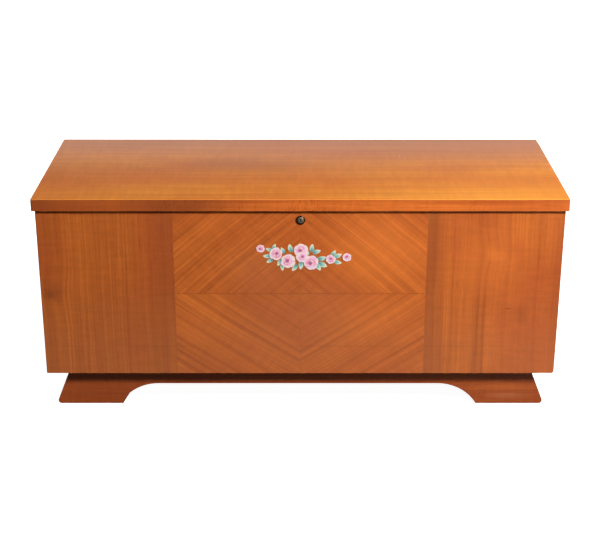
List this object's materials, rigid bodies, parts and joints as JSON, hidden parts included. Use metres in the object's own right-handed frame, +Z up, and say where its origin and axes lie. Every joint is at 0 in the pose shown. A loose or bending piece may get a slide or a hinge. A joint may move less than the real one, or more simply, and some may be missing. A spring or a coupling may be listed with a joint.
{
  "type": "wooden chest",
  "caption": "Long veneered blanket chest with a flat hinged lid, folding lid stays, cedar lining, push-button lock, bracket base and a painted rose spray.",
  "frame": {"origin": "on the floor under the centre of the overall box, hinge barrels included", "axes": "+X to the chest's right as seen from the front, +Y to the back (the front faces -Y), +Z up"},
  "size_m": [1.219, 0.4857, 0.531],
  "materials": {
    "back_wood": "thin stain",
    "base_wood": "satin lacquer, darker stain",
    "brassed": "satin",
    "bronze": "aged, dark",
    "cedar": "bare, planed",
    "decal": "printed film under lacquer",
    "felt": "felt",
    "lid_edge": "satin lacquer",
    "lid_veneer": "satin lacquer over long grain",
    "matched_veneer": "satin lacquer over diagonal walnut-like grain",
    "nickel": "worn nickel plate",
    "secondary_wood": "bare",
    "steel": "zinc plated",
    "upright_veneer": "satin lacquer over upright grain"
  },
  "bodies": {
    "chest": {"back_wall": "back_wood", "base_corner_blocks": "secondary_wood", "base_screws": "steel", "body_hardware_screws": "steel", "bottom_battens": "secondary_wood", "bottom_panel": "secondary_wood", "front_base_rail": "base_wood", "front_core": "secondary_wood", "front_veneer_left": "upright_veneer", "front_veneer_lower_left": "matched_veneer", "front_veneer_lower_right": "matched_veneer", "front_veneer_right": "upright_veneer", "front_veneer_upper_left": "matched_veneer", "front_veneer_upper_right": "matched_veneer", "hinge_pins": "brassed", "left_base_rail": "base_wood", "left_end_core": "secondary_wood", "left_end_veneer": "upright_veneer", "left_hinge_body_leaf": "brassed", "lining_back": "cedar", "lining_floor": "cedar", "lining_front": "cedar", "lining_left": "cedar", "lining_right": "cedar", "lock_bezel": "bronze", "lock_cover": "brassed", "lock_spring": "steel", "rear_base_rail": "base_wood", "right_base_rail": "base_wood", "right_end_core": "secondary_wood", "right_end_veneer": "upright_veneer", "right_hinge_body_leaf": "brassed", "rose_decal": "decal", "stay_wall_plates": "steel", "stay_wall_rivets": "steel"},
    "lid": {"left_hinge_lid_leaf": "brassed", "lid_core": "secondary_wood", "lid_edge_front": "lid_edge", "lid_edge_left": "lid_edge", "lid_edge_right": "lid_edge", "lid_hardware_screws": "steel", "lid_lining": "cedar", "lid_lining_frame": "cedar", "lid_seal": "felt", "lid_top_veneer": "lid_veneer", "right_hinge_lid_leaf": "brassed", "stay_lid_brackets": "steel", "stay_lid_rivets": "steel", "strike_plate": "brassed"},
    "right_lower_arm": {"right_stay_lower_arm": "steel", "right_stay_knee_rivet": "steel"},
    "right_upper_arm": {"right_stay_upper_arm": "steel"},
    "left_lower_arm": {"left_stay_lower_arm": "steel", "left_stay_knee_rivet": "steel"},
    "left_upper_arm": {"left_stay_upper_arm": "steel"},
    "button": {"lock_button": "nickel"},
    "key": {"key_plug": "nickel"}
  },
  "joints": [
    {"name": "lid_hinge", "type": "hinge", "parent": "chest", "child": "lid", "pos_m": [0, 0.23965, 0.5025], "axis": [-1, 0, 0], "range_deg": [0, 95]},
    {"name": "right_lower_arm_turn", "type": "hinge", "parent": "chest", "child": "right_lower_arm", "pos_m": [0.577, 0.16465, 0.3725], "axis": [-1, 0, 0], "range_deg": [0, 95]},
    {"name": "right_upper_arm_turn", "type": "hinge", "parent": "lid", "child": "right_upper_arm", "pos_m": [0.577, 0.08965, 0.4885], "axis": [-1, 0, 0], "range_deg": [-95, 0]},
    {"name": "left_lower_arm_turn", "type": "hinge", "parent": "chest", "child": "left_lower_arm", "pos_m": [-0.577, 0.16465, 0.3725], "axis": [-1, 0, 0], "range_deg": [0, 95]},
    {"name": "left_upper_arm_turn", "type": "hinge", "parent": "lid", "child": "left_upper_arm", "pos_m": [-0.577, 0.08965, 0.4885], "axis": [-1, 0, 0], "range_deg": [-95, 0]},
    {"name": "button_slide", "type": "slide", "parent": "chest", "child": "button", "axis": [0, 1, 0], "range_m": [0, 0.005], "stiffness_N_per_m": 120, "springref_m": -0.003, "deforming": ["lock_spring"]},
    {"name": "key_turn", "type": "hinge", "parent": "button", "child": "key", "pos_m": [0.0008, -0.2359, 0.4792], "axis": [0, 1, 0], "range_deg": [0, 90]}
  ],
  "couplings": [
    {"joint": "right_lower_arm_turn", "follows": "lid_hinge", "ratio": 1},
    {"joint": "right_upper_arm_turn", "follows": "lid_hinge", "ratio": -1},
    {"joint": "left_lower_arm_turn", "follows": "lid_hinge", "ratio": 1},
    {"joint": "left_upper_arm_turn", "follows": "lid_hinge", "ratio": -1}
  ]
}
